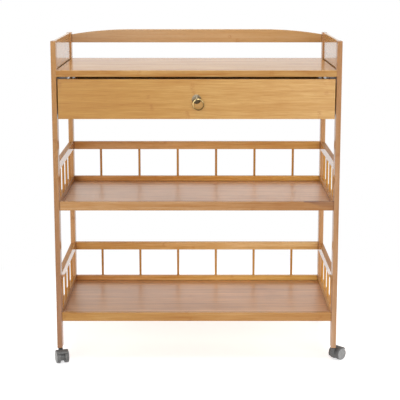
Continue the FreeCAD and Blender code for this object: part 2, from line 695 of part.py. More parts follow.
os.makedirs("parts", exist_ok=True)
for name, shape in build().items():
    shape.exportStep(f"parts/{name}.step")
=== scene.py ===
import json
import math

import bmesh
import bpy
from mathutils import Matrix, Vector


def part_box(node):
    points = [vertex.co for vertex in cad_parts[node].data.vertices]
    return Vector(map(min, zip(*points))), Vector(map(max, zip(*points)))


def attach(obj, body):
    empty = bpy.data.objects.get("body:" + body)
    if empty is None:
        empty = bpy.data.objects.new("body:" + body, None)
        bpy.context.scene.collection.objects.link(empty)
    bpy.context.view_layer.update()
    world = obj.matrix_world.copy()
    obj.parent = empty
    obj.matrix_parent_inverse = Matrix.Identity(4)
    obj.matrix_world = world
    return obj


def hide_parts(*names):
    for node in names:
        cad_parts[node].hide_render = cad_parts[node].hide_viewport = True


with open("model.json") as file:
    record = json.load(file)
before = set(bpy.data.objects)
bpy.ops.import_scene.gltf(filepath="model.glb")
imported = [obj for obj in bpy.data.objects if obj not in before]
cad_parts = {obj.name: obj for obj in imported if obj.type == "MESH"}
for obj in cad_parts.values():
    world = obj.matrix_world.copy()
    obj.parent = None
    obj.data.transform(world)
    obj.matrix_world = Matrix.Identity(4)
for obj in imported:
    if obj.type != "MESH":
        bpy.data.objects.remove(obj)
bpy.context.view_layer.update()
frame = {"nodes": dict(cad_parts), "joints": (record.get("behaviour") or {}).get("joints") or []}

bl_info = {
    "name": "Bamboo serving trolley",
    "version": (1, 0, 0),
    "blender": (4, 5, 0),
    "location": "View3D > Sidebar > Trolley",
    "description": "Dresses the solids of a bamboo serving trolley and sets it on a white stage",
    "category": "Object",
}

NODES = frame["nodes"]
JOINTS = {joint["name"]: joint for joint in frame["joints"]}
TRAYS = ("mid", "low")
SIDES = ("left", "right")
CORNERS = [f"{end}_{side}" for end in ("front", "back") for side in SIDES]
WHEELS = [f"caster_{corner}_wheel_{letter}" for corner in CORNERS for letter in "ab"]
CROSS_RAILS = ["back_rail"] + [f"{tray}_{kind}_rail" for tray in TRAYS
                               for kind in ("front", "back_lower", "back_upper")]
X, Y, Z = range(3)
MM = 0.001

# The tone of a piece at its left, front or lower end and at the other end, as gains on its colour.
# They hold painted light as well as the wood's own tone: pieces at the back and under the drawer
# are made paler, and many are paler towards the right and darker towards the left, as light falls
TONE_AND_LIGHT_GAINS = {
    "leg_front_left": ((0.80, 0.78, 0.94), (1.00, 0.95, 0.66)),
    "leg_front_right": ((1.14, 1.26, 1.60), (0.94, 0.88, 0.76)),
    "leg_back_left": ((1.28, 1.34, 1.36), (1.28, 1.34, 1.20)),
    "leg_back_right": ((1.40, 1.56, 1.80), (1.30, 1.36, 1.30)),
    "back_rail": ((1.14, 1.54, 2.80), (1.18, 1.46, 1.90)),
    "mid_front_rail": ((1.06, 1.20, 1.60), (0.92, 0.96, 1.22)),
    "mid_back_lower_rail": ((1.28, 1.30, 1.32), (1.68, 2.00, 1.62)),
    "mid_back_upper_rail": ((1.10, 1.12, 1.16), (1.52, 1.80, 1.70)),
    "low_front_rail": ((0.96, 1.01, 0.80), (1.01, 1.05, 1.04)),
    "low_back_lower_rail": ((1.30, 1.36, 1.50), (1.78, 2.42, 2.35)),
    "low_back_upper_rail": ((1.20, 1.30, 1.18), (1.62, 2.22, 3.10)),
    "drawer_front": ((0.78, 0.72, 0.42), (0.97, 1.00, 1.06)),
    "mid_shelf_panel": ((1.22, 1.50, 2.05), (1.45, 1.75, 2.40)),
    "low_shelf_panel": ((0.92, 0.97, 0.99), (1.08, 1.14, 1.20)),
    "mid_back_spindles": ((0.86, 0.84, 0.82), (1.10, 1.20, 1.20)),
    "low_back_spindles": ((0.92, 0.92, 0.90), (1.16, 1.32, 1.35)),
    "mid_side_spindles": ((0.95, 0.95, 0.90), (1.20, 1.35, 1.30)),
    "low_side_spindles": ((0.95, 0.95, 0.90), (1.25, 1.40, 1.35)),
    "mid_side_lower_rail_left": ((1.00, 1.00, 0.95), (1.00, 1.00, 0.95)),
    "mid_side_lower_rail_right": ((1.38, 1.54, 1.75), (1.38, 1.54, 1.75)),
    "low_side_lower_rail_left": ((1.00, 1.00, 0.95), (1.00, 1.00, 0.95)),
    "low_side_lower_rail_right": ((1.40, 1.60, 1.85), (1.40, 1.60, 1.85)),
}
# The gains of the darkest and the palest streaks
GOLDEN = ((0.76, 0.58, 0.32), (1.22, 1.40, 1.95))
REDDISH = ((0.64, 0.53, 0.42), (1.32, 1.44, 1.66))
HONEY = ((0.84, 0.70, 0.44), (1.20, 1.38, 1.90))
# How strong the grain is and, on the drawer, how fine
RAIL_CONTRAST = 1.7
BACK_RAIL_CONTRAST = 0.6
TOP_CONTRAST = 2.0
SHELF_CONTRAST = 1.8
DRAWER_CONTRAST = 1.7
DRAWER_FINENESS = 1.8
# The refractive index of the lacquer, and where it shines most
COAT_IOR = 1.5
BRIGHT_COAT_IOR = 1.7

# How dark the painted shade at a joint is, with a dark glue line where it is narrow: as a rule,
# at a cross rail's right end, on a side rail and on a shelf
JOINT_SHADE_SHARE = 0.7
RIGHT_END_SHADE_SHARE = 0.5
SIDE_RAIL_SHADE_SHARES = {"left": 0.56, "right": 0.20}
SHELF_SHADE_SHARES = {"left": 0.40, "right": 0.20}
# How dark the painted shade in the left corner of a tray's lower back rail is
CORNER_SHADE_SHARES = {"mid": 0.68, "low": 0.24}
JOINT_SHADE_GAINS = (0.30, 0.20, 0.12)
# The least that a face looks along an axis to count as facing that way
FACING = 0.5

# The dark wedge on the mid front rail: where it starts and ends along X and how softly it starts
WEDGE_RUN = (0.258, 0.328)
WEDGE_SOFTNESS = 0.004
# How far it hangs from the rail's upper edge at its start, and how much further at its end
WEDGE_DROP = 0.003
WEDGE_SPREAD = 0.026
# How dark it is at its start, and how much less at its end
WEDGE_SHARE = 0.80
WEDGE_FADE = 0.36
WEDGE_GAINS = (0.34, 0.27, 0.60)

# Noise drawn out along the grain: its scales along and across per metre, and its detail
BROAD = (3.5, 75.0, 2.0)
STREAK = (13.0, 340.0, 3.0)
FIBRE = (30.0, 1300.0, 2.0)
FLECK = (75.0, 1000.0, 1.0)
TEAR = (170.0, 420.0, 2.0)
# Where that noise turns into a fleck, and where it leaves a knuckle whole
FLECK_RANGE = (0.60, 0.74)
TEAR_RANGE = (0.36, 0.62)
CLOUD_SCALE = 7.0
# How far apart in the noise two pieces take their grain, their strips and their strips' own tone
GRAIN_SPREAD = 40.0
STRIP_SPREAD = 7.0
OWN_SPREAD = 91.0
# What tells the random values of strips, knuckles and bunches of knuckles apart
OWN_SEED = 0.0
KNUCKLE_SEED = 3.0
BUNCH_SEED = 5.0
SEAM_WIDTH = 0.0004
# Strips in a bunch, how far a knuckle strays from it, how deep fibres fray one, the share missing
BUNCH_STRIPS = 4.0
KNUCKLE_STRAY = 0.07
KNUCKLE_FRAY = 0.003
KNUCKLE_MISSING = 0.55
# How much a strip's own tone, broad streaks, streaks, fibres, clouds and the piece move the tone
TONE_WEIGHTS = (0.10, 0.60, 0.62, 0.34, 0.36, 0.08)
# Marks in the wood: how strongly each shows, the gains of its colour and how far it stands out
MARK_SHARES = {"fleck": 0.26, "knuckle": 0.50, "seam": 0.10}
MARK_GAINS = {
    "fleck": (0.55, 0.45, 0.36),
    "knuckle": (0.76, 0.56, 0.38),
    "seam": (0.55, 0.46, 0.38),
}
MARK_HEIGHTS = {"fleck": -0.5, "knuckle": 0.6, "seam": -0.8}
FIBRE_HEIGHT = 0.4
# Cut ends: the scale of the dots, the gains between and on them, and how squarely a cut end faces
DOT_SCALE = 900.0
END_GAINS = ((0.42, 0.34, 0.28), (0.92, 0.86, 0.80))
END_FACING = 0.8
# From an upright face to a level one
LEVEL_RANGE = (0.4, 0.8)

# Antique metal: how much a painted highlight lightens it towards the left and the top, and how
# that, its patches and its pits show
HIGHLIGHT_LEFT = 0.5
HIGHLIGHT_UP = 0.85
HIGHLIGHT_SHARE = 0.30
PIT_SHARE = 0.2
RUB_AND_LIGHT_RANGE = (0.30, 0.95)
DARK_METAL = (0.20, 0.16, 0.12)
DULL_METAL = (0.50, 0.44, 0.36)

SMOOTH_ANGLE = math.radians(35)
SHARP_ANGLE = math.radians(28)
WELD = 1e-7
# The rosette's profile in mm: insets from the rim with heights, then radii of the dome with heights
ROSETTE_RIM = (
    (0, 0), (0, 0.9), (0.7, 1.5), (1.7, 1.5), (2.0, 1.1), (2.5, 1.1), (2.8, 1.9), (3.5, 2.5),
    (4.3, 2.3), (4.6, 2.1))
ROSETTE_DOME = ((5.2, 3.1), (3.9, 3.9), (2.6, 4.6), (2.2, 5.2), (0, 5.2))
ROSETTE_STEPS = 48
ROSETTE_SOFTNESS = 0.18 * MM
EYE_OUTER, EYE_INNER, EYE_HALF = 4.3 * MM, 2.5 * MM, 1.5 * MM
EYE_STEPS = 40
EYE_SOFTNESS = 0.55 * MM
RING_STEPS, WIRE_STEPS = 72, 16
WHEEL_STEPS = 56
WHEEL_SOFTNESS = 0.22 * MM
AXLE_BORE = 2.05 * MM
# How far the disc's colour reaches below a wheel's outer face
DISC_DEPTH = 1.3 * MM
HEXAGON = 6
BOLT_STEPS = 4 * HEXAGON
BOLT_HEAD, BOLT_HEAD_DEPTH = 4.0 * MM, 3.0 * MM
BOLT_SHANK, BOLT_LENGTH = 2.5 * MM, 45.0 * MM
BOLT_SOFTNESS = 0.5 * MM
# The points of a bolt's head: how near to its outer plane, and how near to one another
HEAD_PLANE = 1e-5
HEAD_REACH = 10 * MM

IMAGE_WIDTH = 400
SENSOR_WIDTH = 36.0
FLOOR_SIZE = 12.0
FLOOR_CELLS = 8
FLOOR_GLOW = 0.60
# How far from the middle the floor starts to fade, and where it is all white
FLOOR_FADE = (0.42, 0.95)
LAMP_TARGET = Vector((0, 0, 0.45))
# Each lamp's name, the setting of its power, its width, its place and whether gloss shows it
LAMPS = (
    ("key_lamp", "key_power", 2.8, (2.0, -4.3, 1.2), True),
    ("fill_lamp", "fill_power", 2.8, (-2.0, -4.3, 1.2), True),
    ("top_lamp", "top_power", 2.0, (0, -0.4, 2.9), True),
    ("left_lamp", "side_power", 2.2, (-3.4, -0.3, 1.2), False),
    ("right_lamp", "side_power", 2.2, (3.4, -0.3, 1.2), False),
    ("back_lamp", "back_power", 2.2, (0, 4.0, 1.3), False),
)


# Settings

def colour_setting(label, words, default):
    return bpy.props.FloatVectorProperty(
        name=label, description=words, subtype="COLOR", size=3, min=0.0, max=1.0, default=default)


def length_setting(label, words, default):
    return bpy.props.FloatProperty(
        name=label, description=words, subtype="DISTANCE", unit="LENGTH", min=0.0, default=default)


def share_setting(label, words, default):
    return bpy.props.FloatProperty(
        name=label, description=words, subtype="FACTOR", min=0.0, max=1.0, default=default)


def power_setting(label, words, default):
    return bpy.props.FloatProperty(
        name=label, description=words, subtype="POWER", min=0.0, default=default)


class TrolleyBamboo(bpy.types.PropertyGroup):
    """Colours and grain of the lacquered bamboo."""

    leg: colour_setting("Legs", "Mean colour of the upright strips", (0.410, 0.204, 0.080))
    rail: colour_setting(
        "Cross rails", "Mean colour of the rails at the front and the back", (0.460, 0.214, 0.060))
    side_rail: colour_setting(
        "Side rails", "Mean colour of the rails at the sides", (0.510, 0.246, 0.068))
    board: colour_setting(
        "Top and sides", "Mean colour of the top board and side panels", (0.485, 0.247, 0.064))
    drawer: colour_setting("Drawer front", "Mean colour of the drawer front", (0.560, 0.285, 0.070))
    shelf: colour_setting("Shelves", "Mean colour of the two shelf panels", (0.600, 0.305, 0.125))
    spindle: colour_setting("Spindles", "Mean colour of the turned rods", (0.520, 0.235, 0.048))
    ply: colour_setting(
        "Drawer box", "Mean colour of the plywood inside the drawer", (0.560, 0.330, 0.150))
    strip: length_setting("Strip", "Width of one glued strip", 0.0095)
    knuckle_spacing: length_setting(
        "Knuckle spacing", "Distance between two knuckles of a strip", 0.31)
    knuckle_width: length_setting(
        "Knuckle width", "Half width of the dark patch at a knuckle", 0.0055)
    gloss_blur: share_setting(
        "Gloss blur", "Roughness of the clear lacquer on legs, rails and the top", 0.14)
    satin_blur: share_setting(
        "Satin blur", "Roughness of the clear lacquer on the shelves and the drawer", 0.33)
    rail_coat: share_setting(
        "Rail coat", "Strength of the lacquer's shine on legs, rails and spindles", 0.60)
    top_coat: share_setting(
        "Top coat", "Strength of the lacquer's shine on the top board", 0.62)
    inner_coat: share_setting(
        "Inner coat", "Strength of the lacquer's shine on the lower side rails", 0.25)
    level_coat: share_setting(
        "Level coat", "Strength of the lacquer's shine on top of the upper side rails", 0.15)
    box_coat: share_setting(
        "Box coat", "Strength of the lacquer's shine on the drawer's box and the runners", 0.35)
    # Reaches of painted shade: at a joint, where it also stands for a dark glue line, in a corner
    # and along a shelf's sides
    joint_shade: length_setting(
        "Joint shade", "Reach of the dark line where a rail meets its neighbour", 0.0040)
    corner_shade: length_setting(
        "Corner shade", "Reach of the soft shade at the left end of a lower rail", 0.0310)
    shelf_shade: length_setting(
        "Shelf shade", "Reach of the soft shade at the sides of a shelf", 0.0120)


class TrolleyMetal(bpy.types.PropertyGroup):
    """Colours and fine shapes of the metal pieces."""

    # The rosette's and the ring's bright colours show where rubbing and a painted highlight at the
    # upper left lighten them
    rosette: colour_setting(
        "Rosette", "Colour of the rosette where it is rubbed bright", (0.36, 0.31, 0.22))
    ring: colour_setting("Ring", "Colour of the ring where it is rubbed bright", (0.68, 0.53, 0.26))
    steel: colour_setting(
        "Steel", "Colour of the zinc plated bolts, screws and pins", (0.56, 0.56, 0.54))
    black_steel: colour_setting(
        "Black steel", "Colour of the plated caster stems", (0.035, 0.035, 0.034))
    brass: colour_setting("Brass", "Colour of the bushes in the leg ends", (0.60, 0.43, 0.17))
    key_width: length_setting(
        "Key width", "Width across the flats of the bolts' hexagon socket", 0.0030)
    key_depth: length_setting("Key depth", "Depth of the bolts' hexagon socket", 0.0018)


class TrolleyCaster(bpy.types.PropertyGroup):
    """Colours of the caster's plastics."""

    hood: colour_setting("Hood", "Colour of the moulded hood", (0.105, 0.104, 0.103))
    wheel: colour_setting("Wheel", "Colour of the tread", (0.120, 0.118, 0.117))
    disc: colour_setting("Wheel disc", "Colour of the wheel's outer face", (0.280, 0.278, 0.277))


class TrolleyStage(bpy.types.PropertyGroup):
    """Floor, light and camera."""

    floor: colour_setting("Floor", "Colour of the floor", (0.90, 0.90, 0.90))
    sky: bpy.props.FloatProperty(
        name="Sky", description="Strength of the even light from all round", min=0.0, default=0.22)
    key_power: power_setting("Key lamp", "Power of the lamp at the front right", 76.0)
    fill_power: power_setting("Fill lamp", "Power of the lamp at the front left", 62.0)
    side_power: power_setting("Side lamps", "Power of each lamp at the left and the right", 30.0)
    back_power: power_setting("Back lamp", "Power of the lamp behind the trolley", 60.0)
    top_power: power_setting("Top lamp", "Power of the lamp overhead", 36.0)
    camera_place: bpy.props.FloatVectorProperty(
        name="Camera place", description="Where the camera stands",
        subtype="TRANSLATION", unit="LENGTH", size=3, default=(0.0082, -2.9508, 0.9618))
    camera_tilt: bpy.props.FloatProperty(
        name="Camera tilt", description="How far the camera looks down",
        subtype="ANGLE", unit="ROTATION", default=math.radians(10.81))
    camera_focus: bpy.props.FloatProperty(
        name="Focal length", description="Focal length in pixels of the picture's width",
        min=1.0, default=1183.8)
    camera_shift: bpy.props.FloatProperty(
        name="Shift", description="Upward shift of the picture as a share of its width",
        default=-0.03)


# Materials

class Bench:
    """The nodes of one material, placed and joined one at a time."""

    def __init__(self, name):
        self.material = bpy.data.materials.new(name)
        self.material.use_nodes = True
        self.tree = self.material.node_tree
        self.shader = self.tree.nodes["Principled BSDF"]
        place = self.add("ShaderNodeTexCoord").outputs
        self.spot = place["Object"]
        self.facing = place["Normal"]

    def add(self, kind, inputs=None, **settings):
        made = self.tree.nodes.new(kind)
        for key, value in settings.items():
            setattr(made, key, value)
        for key, value in (inputs or {}).items():
            self.feed(made.inputs[key], value)
        return made

    def feed(self, socket, value):
        if isinstance(value, bpy.types.NodeSocket):
            self.tree.links.new(value, socket)
        else:
            socket.default_value = value

    def finish(self, **values):
        """Feeds the shader's sockets, named with _ for a space."""
        for key, value in values.items():
            self.feed(self.shader.inputs[key.replace("_", " ")], value)
        return self.material

    def math(self, operation, *values):
        made = self.add("ShaderNodeMath", dict(enumerate(values)), operation=operation)
        return made.outputs[0]

    def split(self, vector):
        return self.add("ShaderNodeSeparateXYZ", {0: vector}).outputs

    def join(self, *parts):
        return self.add("ShaderNodeCombineXYZ", dict(enumerate(parts))).outputs[0]

    def ease(self, value, start, end, low=0.0, high=1.0):
        """A smooth step from low at start to high at end."""
        return self.add("ShaderNodeMapRange", {
            "Value": value, "From Min": start, "From Max": end, "To Min": low, "To Max": high,
        }, interpolation_type="SMOOTHSTEP").outputs["Result"]

    def off_middle(self, value):
        """How far a value is from the middle of its step of 1."""
        return self.math("ABSOLUTE", self.math("SUBTRACT", self.math("FRACT", value), 0.5))

    def noise(self, vector, scale=1.0, detail=2.0, roughness=0.5):
        return self.add("ShaderNodeTexNoise", {
            "Vector": vector, "Scale": scale, "Detail": detail, "Roughness": roughness,
        }).outputs["Fac"]

    def chance(self, *parts):
        """A random value and colour for a cell."""
        cell = self.join(*parts)
        return self.add("ShaderNodeTexWhiteNoise", {"Vector": cell}, noise_dimensions="3D").outputs

    def mix(self, share, first, second, blend="MIX"):
        """Two colours mixed, by the numbers that the colour sockets of a Mix node have."""
        made = self.add("ShaderNodeMix", {0: share, 6: first, 7: second},
                        data_type="RGBA", blend_type=blend)
        return made.outputs[2]

    def ramp(self, value, *colours):
        """Colours spread evenly over a value from 0 to 1."""
        made = self.add("ShaderNodeValToRGB", {"Fac": value})
        stops = made.color_ramp.elements
        while len(stops) < len(colours):
            stops.new(0.5)
        for i, colour in enumerate(colours):
            stops[i].position = i / (len(colours) - 1)
            stops[i].color = colour
        return made.outputs["Color"]

    def bump(self, height, strength, distance):
        return self.add("ShaderNodeBump", {
            "Height": height, "Strength": strength, "Distance": distance}).outputs["Normal"]


def shade(colour, gains=(1.0, 1.0, 1.0)):
    """A colour with each channel scaled, as the four values that a node takes."""
    return tuple(min(1.0, c * g) for c, g in zip(colour, gains)) + (1.0,)


def grey(gain):
    """One gain for all three channels."""
    return gain, gain, gain


def end_tones_and_light(node, axis):
    """An axis, where a piece starts and ends on it, and the gains of its tone and painted light
    there.
    """
    low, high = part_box(node)
    first, second = TONE_AND_LIGHT_GAINS[node]
    return axis, low[axis], high[axis], first + (1.0,), second + (1.0,)


def joint(axis, place, way, reach, share=JOINT_SHADE_SHARE, faces=None):
    """The painted shade where a neighbour meets a piece, with a dark glue line where it is narrow:
    its axis, start, end and strength, and its faces.

    Faces are an axis and 1 or -1 for the way that the only shaded faces look.
    """
    return axis, place, place + way * reach, share, faces


def with_joint_shades(bench, base, spot, colour, joints):
    """A base colour with the painted shade of each joint on it."""
    for axis, start, end, share, faces in joints:
        shadow = bench.ease(spot[axis], start, end, share, 0.0)
        if faces:
            face_axis, face_way = faces
            looks = bench.math("MULTIPLY", bench.split(bench.facing)[face_axis], face_way)
            shadow = bench.math("MULTIPLY", shadow, bench.math("GREATER_THAN", looks, FACING))
        base = bench.mix(shadow, base, shade(colour, JOINT_SHADE_GAINS))
    return base


def with_dark_wedge(bench, base, spot, colour, top):
    """A base colour with a dark wedge that hangs from an edge at a height."""
    start, end = WEDGE_RUN
    sweep = bench.ease(spot[X], start, end)
    edge = bench.math("MULTIPLY_ADD", sweep, -WEDGE_SPREAD, top - WEDGE_DROP)
    share = bench.math("MULTIPLY_ADD", sweep, -WEDGE_FADE,
                       bench.ease(spot[X], start - WEDGE_SOFTNESS, start, 0.0, WEDGE_SHARE))
    return bench.mix(bench.ease(spot[Z], top, edge, share, 0.0), base, shade(colour, WEDGE_GAINS))


def bamboo(name, colour, along, across, coat=1.0, satin=False, contrast=1.0, fineness=1.0,
           coat_ior=COAT_IOR, streaks=GOLDEN, tones_and_light=None, joints=(), level_coat=None,
           wedge_top=None):
    """Glued bamboo strips under clear lacquer, with fibres, dark flecks, knuckles and end grain, a
    tone that carries painted light, and painted shade at the joints.

    Along and across are the axes of the grain and of the strips' width. The level coat is the
    coat of faces that look up or down. The last argument is the height of the edge that a dark
    wedge hangs from.
    """
    look = bpy.context.scene.trolley_bamboo
    bench = Bench(name)
    spot = bench.split(bench.spot)
    run, side, depth = spot[along], spot[across], spot[X + Y + Z - along - across]
    piece = bench.add("ShaderNodeObjectInfo").outputs["Random"]

    def stretched(grain, scale=1.0):
        """Noise drawn out along the grain."""
        along_scale, across_scale, detail = grain
        return bench.noise(bench.join(
            bench.math("MULTIPLY_ADD", run, along_scale * scale,
                       bench.math("MULTIPLY", piece, GRAIN_SPREAD)),
            bench.math("MULTIPLY", side, across_scale * scale),
            bench.math("MULTIPLY", depth, across_scale * scale)), detail=detail)

    # Strips, each with its own tone
    course = bench.math("MULTIPLY_ADD", side, 1 / look.strip,
                        bench.math("MULTIPLY", piece, STRIP_SPREAD))
    lane = bench.math("FLOOR", course)
    own = bench.chance(lane, bench.math("MULTIPLY", piece, OWN_SPREAD), OWN_SEED)
    seam = bench.ease(bench.off_middle(course), 0.5 - SEAM_WIDTH / look.strip, 0.5)

    # Fibres along the strips, from broad streaks to fine flecks
    broad = stretched(BROAD, fineness)
    streak = stretched(STREAK, fineness)
    fibre = stretched(FIBRE)
    fleck = bench.ease(stretched(FLECK), *FLECK_RANGE)
    cloud = bench.noise(bench.spot, CLOUD_SCALE)

    # Knuckles, close to one another in neighbouring strips and broken up by the fibres
    bunch = bench.chance(
        bench.math("FLOOR", bench.math("DIVIDE", lane, BUNCH_STRIPS)), piece, BUNCH_SEED)["Value"]
    shift = bench.math("MULTIPLY_ADD", bench.split(own["Color"])[X], KNUCKLE_STRAY, bunch)
    step = bench.math("ADD", bench.math("DIVIDE", run, look.knuckle_spacing), shift)
    far = bench.math("MULTIPLY_ADD", bench.off_middle(step), look.knuckle_spacing,
                     bench.math("MULTIPLY", fibre, -KNUCKLE_FRAY))
    odds = bench.chance(lane, bench.math("FLOOR", step), KNUCKLE_SEED)["Value"]
    there = bench.math("GREATER_THAN", odds, KNUCKLE_MISSING)
    torn = bench.math("MULTIPLY", there, bench.ease(stretched(TEAR), *TEAR_RANGE))
    knuckle = bench.math("MULTIPLY", bench.ease(far, 0.0, look.knuckle_width, 1.0, 0.0), torn)

    # Colour
    tone = 0.5
    for value, weight in zip((own["Value"], broad, streak, fibre, cloud, piece), TONE_WEIGHTS):
        centred = bench.math("SUBTRACT", value, 0.5)
        tone = bench.math("MULTIPLY_ADD", centred, weight * contrast, tone)
    dark, pale = streaks
    base = bench.ramp(tone, shade(colour, dark), shade(colour), shade(colour, pale))
    marks = {"fleck": fleck, "knuckle": knuckle, "seam": seam}
    for mark, value in marks.items():
        share = bench.math("MULTIPLY", value, MARK_SHARES[mark])
        base = bench.mix(share, base, shade(colour, MARK_GAINS[mark]))

    # Cut ends show the fibres as dots
    dots = bench.add("ShaderNodeTexVoronoi", {"Vector": bench.spot, "Scale": DOT_SCALE})
    end_face = bench.math(
        "GREATER_THAN", bench.math("ABSOLUTE", bench.split(bench.facing)[along]), END_FACING)
    end_colours = [shade(colour, gains) for gains in END_GAINS]
    base = bench.mix(end_face, base, bench.ramp(dots.outputs["Distance"], *end_colours))

    # Tone with painted light, painted shade at the joints, the dark wedge and the coat
    if tones_and_light:
        axis, start, end, first, second = tones_and_light
        gains = bench.mix(bench.ease(spot[axis], start, end), first, second)
        base = bench.mix(1.0, base, gains, "MULTIPLY")
    base = with_joint_shades(bench, base, spot, colour, joints)
    if wedge_top is not None:
        base = with_dark_wedge(bench, base, spot, colour, wedge_top)
    if level_coat is not None:
        level = bench.math("ABSOLUTE", bench.split(bench.facing)[Z])
        coat = bench.ease(level, *LEVEL_RANGE, coat, level_coat)

    height = bench.math("MULTIPLY", fibre, FIBRE_HEIGHT)
    for mark, value in marks.items():
        height = bench.math("MULTIPLY_ADD", value, MARK_HEIGHTS[mark], height)
    return bench.finish(
        Base_Color=base,
        Roughness=bench.math("MULTIPLY_ADD", fibre, 0.16, 0.38),
        Normal=bench.bump(height, strength=0.12, distance=0.0003),
        IOR=1.45,
        Specular_IOR_Level=0.10,
        Coat_Weight=coat,
        Coat_Roughness=look.satin_blur if satin else look.gloss_blur,
        Coat_IOR=coat_ior,
    )


def antique_metal(name, bright, middle, radius):
    """Cast metal, dark in hollows and bright where rubbing wears it, with a painted highlight and
    shade that lighten it towards the upper left.
    """
    bench = Bench(name)
    patch = bench.noise(bench.spot, scale=420.0, detail=4.0, roughness=0.65)
    pits = bench.noise(bench.spot, scale=1900.0)
    spot = bench.split(bench.spot)
    # A painted highlight and shade: lighter towards the upper left, darker towards the lower right
    leftward = bench.math("SUBTRACT", middle.x, spot[X])
    upward = bench.math("SUBTRACT", spot[Z], middle.z)
    painted_highlight = bench.math("MULTIPLY_ADD", leftward, HIGHLIGHT_LEFT / radius,
                      bench.math("MULTIPLY", upward, HIGHLIGHT_UP / radius))
    worn_and_lit = bench.math("MULTIPLY_ADD", painted_highlight, HIGHLIGHT_SHARE,
                      bench.math("MULTIPLY_ADD", pits, PIT_SHARE, patch))
    rubbed_and_lit = bench.ease(worn_and_lit, *RUB_AND_LIGHT_RANGE)
    return bench.finish(
        Base_Color=bench.ramp(
            rubbed_and_lit, shade(bright, DARK_METAL), shade(bright, DULL_METAL), shade(bright)),
        Metallic=1.0,
        Roughness=bench.math("MULTIPLY_ADD", rubbed_and_lit, -0.16, 0.42),
        Normal=bench.bump(pits, strength=0.15, distance=0.0002),
    )


def plated_metal(name, colour):
    """Plated metal with fine turning marks and a mottled bloom."""
    bench = Bench(name)
    bloom = bench.noise(bench.spot, scale=260.0, detail=4.0, roughness=0.6)
    marks = bench.noise(bench.spot, scale=2600.0)
    return bench.finish(
        Base_Color=bench.ramp(bloom, shade(colour, grey(0.72)), shade(colour, (1.12, 1.10, 1.06))),
        Metallic=1.0,
        Roughness=bench.math("MULTIPLY_ADD", bloom, 0.22, 0.24),
        Normal=bench.bump(marks, strength=0.10, distance=0.0002),
    )


def moulded_plastic(name, colour):
    """Satin moulded plastic with a fine stipple and faint scuffs."""
    bench = Bench(name)
    stipple = bench.noise(bench.spot, scale=3200.0)
    scuff = bench.noise(bench.spot, scale=330.0, detail=5.0, roughness=0.7)
    return bench.finish(
        Base_Color=bench.ramp(
            bench.ease(scuff, 0.3, 0.7), shade(colour, grey(0.82)), shade(colour, grey(1.20))),
        Roughness=bench.math("MULTIPLY_ADD", scuff, 0.20, 0.34),
        Normal=bench.bump(stipple, strength=0.10, distance=0.0002),
        IOR=1.5,
    )


# Pieces

def dress(names, material):
    """Gives a material to CAD nodes."""
    for name in names:
        if name not in NODES:
            raise RuntimeError(f"there is no node named {name}")
        piece = NODES[name]
        if not piece.material_slots:
            piece.data.materials.append(material)
        for slot in piece.material_slots:
            slot.material = material


def add_piece(name, bm, materials, body, stands_for):
    """Makes a piece of a finished bmesh that rides on a body in the place of CAD nodes."""
    mesh = bpy.data.meshes.new(name)
    bm.to_mesh(mesh)
    bm.free()
    mesh.shade_smooth()
    mesh.set_sharp_from_angle(angle=SMOOTH_ANGLE)
    for material in materials:
        mesh.materials.append(material)
    piece = bpy.data.objects.new(name, mesh)
    bpy.context.scene.collection.objects.link(piece)
    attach(piece, body)
    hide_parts(*stands_for)


def merge(bm, part):
    """Adds a finished bmesh to another one and frees it."""
    mesh = bpy.data.meshes.new("part")
    part.to_mesh(mesh)
    part.free()
    bm.from_mesh(mesh)
    bpy.data.meshes.remove(mesh)


def of_kind(geom, kind):
    """The items of one kind among those that an operation made."""
    return [item for item in geom if isinstance(item, kind)]


def edges_at(verts):
    """The edges at some vertices, each once."""
    return list(dict.fromkeys(edge for vert in verts for edge in vert.link_edges))


def open_edges(edges):
    return [edge for edge in edges if edge.is_boundary]


def sharp_edges(bm):
    return [edge for edge in bm.edges if edge.is_manifold and edge.calc_face_angle() > SHARP_ANGLE]


def soften(bm, edges, offset, segments=2):
    """Rounds a few edges."""
    bmesh.ops.bevel(bm, geom=edges, offset=offset, offset_type="OFFSET", affect="EDGES",
                    segments=segments, profile=0.5, material=-1)


def move(bm, matrix):
    bmesh.ops.transform(bm, matrix=matrix, verts=bm.verts)


def spin_round(bm, geom, steps):
    """Spins geometry once about Z and closes what it makes."""
    bmesh.ops.spin(bm, geom=geom, cent=(0, 0, 0), axis=(0, 0, 1), angle=2 * math.pi, steps=steps,
                   use_merge=True)
    bmesh.ops.remove_doubles(bm, verts=bm.verts, dist=WELD)
    bmesh.ops.recalc_face_normals(bm, faces=bm.faces)


def turned(profile, steps, softness):
    """A bmesh turned about Z from an open profile of (radius, height) points, its edges rounded."""
    bm = bmesh.new()
    verts = [bm.verts.new((radius, 0.0, height)) for radius, height in profile]
    edges = [bm.edges.new(pair) for pair in zip(verts, verts[1:])]
    spin_round(bm, verts + edges, steps)
    soften(bm, sharp_edges(bm), softness)
    return bm


def turn_from_z(direction, at):
    """The matrix that takes +Z at the origin to a direction at a point."""
    turn = Vector((0, 0, 1)).rotation_difference(Vector(direction)).to_matrix().to_4x4()
    return Matrix.Translation(at) @ turn


def rosette_profile(radius):
    """A back plate, a bead and a dome."""
    rim = [(radius - inset * MM, height * MM) for inset, height in ROSETTE_RIM]
    return [(0, 0)] + rim + [(out * MM, height * MM) for out, height in ROSETTE_DOME]


